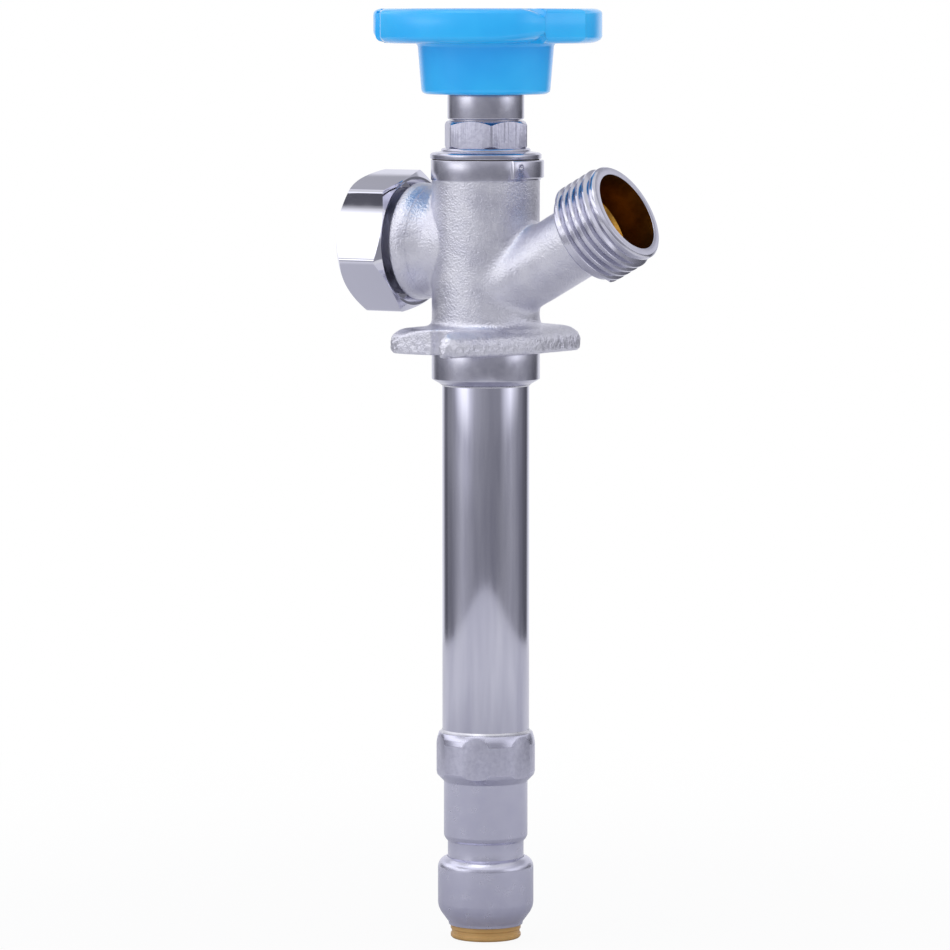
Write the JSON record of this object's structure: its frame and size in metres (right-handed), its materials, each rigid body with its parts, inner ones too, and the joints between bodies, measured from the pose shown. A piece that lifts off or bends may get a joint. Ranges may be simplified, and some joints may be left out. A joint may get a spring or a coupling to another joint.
{
  "type": "frost free sillcock",
  "caption": "Wall-mounted frost-free outdoor tap with a round handle, angled hose spout, rear vacuum breaker, slotted flange, long tube and push-fit inlet.",
  "frame": {"origin": "on the axis of the tube and stem, on the flange's face that lies on the wall", "axes": "+Z out of the wall along the tube's axis, towards the handle; +X the side that the hose spout leans out to; -X the vacuum breaker; the two screw slots at +Y and -Y"},
  "size_m": [0.082, 0.06, 0.2377],
  "materials": {
    "cast_chrome": "satin, as cast under the plating",
    "tube_chrome": "satin, drawn tube under the plating",
    "fitting_chrome": "satin with polished turned bands",
    "bonnet_chrome": "bright, turned",
    "nut_chrome": "bright, turned",
    "cap_chrome": "mirror bright",
    "bell_chrome": "satin, drawn shell",
    "solder": "satin",
    "raw_brass": "turned",
    "spring_steel": "bright",
    "screw_steel": "bright",
    "handle_plastic": "glossy, moulded",
    "fibre_gasket": "matte",
    "graphite_packing": "matte",
    "black_rubber": "matte",
    "natural_nylon": "satin",
    "blue_plastic": "satin",
    "tan_plastic": "matte, moulded"
  },
  "bodies": {
    "sillcock_body": {"valve_body": "cast_chrome", "tube": "tube_chrome", "inlet_fitting": "fitting_chrome", "upper_solder_ring": "solder", "lower_solder_ring": "solder", "bonnet": "bonnet_chrome", "bonnet_gasket": "fibre_gasket", "packing": "graphite_packing", "packing_washer": "raw_brass", "packing_nut": "nut_chrome", "vacuum_cap": "cap_chrome", "air_seat": "raw_brass", "air_seat_gasket": "fibre_gasket", "float_spring": "spring_steel", "push_fit_bell": "bell_chrome", "pipe_seal": "black_rubber", "seal_spacer": "blue_plastic", "grab_ring": "spring_steel"},
    "valve_carriage": {"washer_carrier": "raw_brass", "carrier_clip": "spring_steel", "seat_washer": "black_rubber", "seat_washer_screw": "raw_brass"},
    "handle_and_stem": {"handle": "handle_plastic", "handle_washer": "screw_steel", "handle_screw": "screw_steel", "stem": "raw_brass", "stem_guide": "natural_nylon"},
    "vacuum_float": {"float": "natural_nylon", "float_seal": "black_rubber"},
    "pipe_release": {"release_collar": "tan_plastic"}
  },
  "joints": [
    {"name": "valve_lift", "type": "slide", "parent": "sillcock_body", "child": "valve_carriage", "axis": [0, 0, 1], "range_m": [0, 0.00625]},
    {"name": "handle_turn", "type": "hinge", "parent": "valve_carriage", "child": "handle_and_stem", "pos_m": [0, 0, 0], "axis": [0, 0, 1], "range_deg": [0, 900]},
    {"name": "float_slide", "type": "slide", "parent": "sillcock_body", "child": "vacuum_float", "axis": [-1, 0, 0], "range_m": [0, 0.003], "stiffness_N_per_m": 30, "springref_m": -0.004, "deforming": ["float_spring"]},
    {"name": "release_press", "type": "slide", "parent": "sillcock_body", "child": "pipe_release", "axis": [0, 0, 1], "range_m": [0, 0.0012], "stiffness_N_per_m": 800}
  ],
  "couplings": [
    {"joint": "handle_turn", "follows": "valve_lift", "rad_per_m": 2513.2}
  ]
}
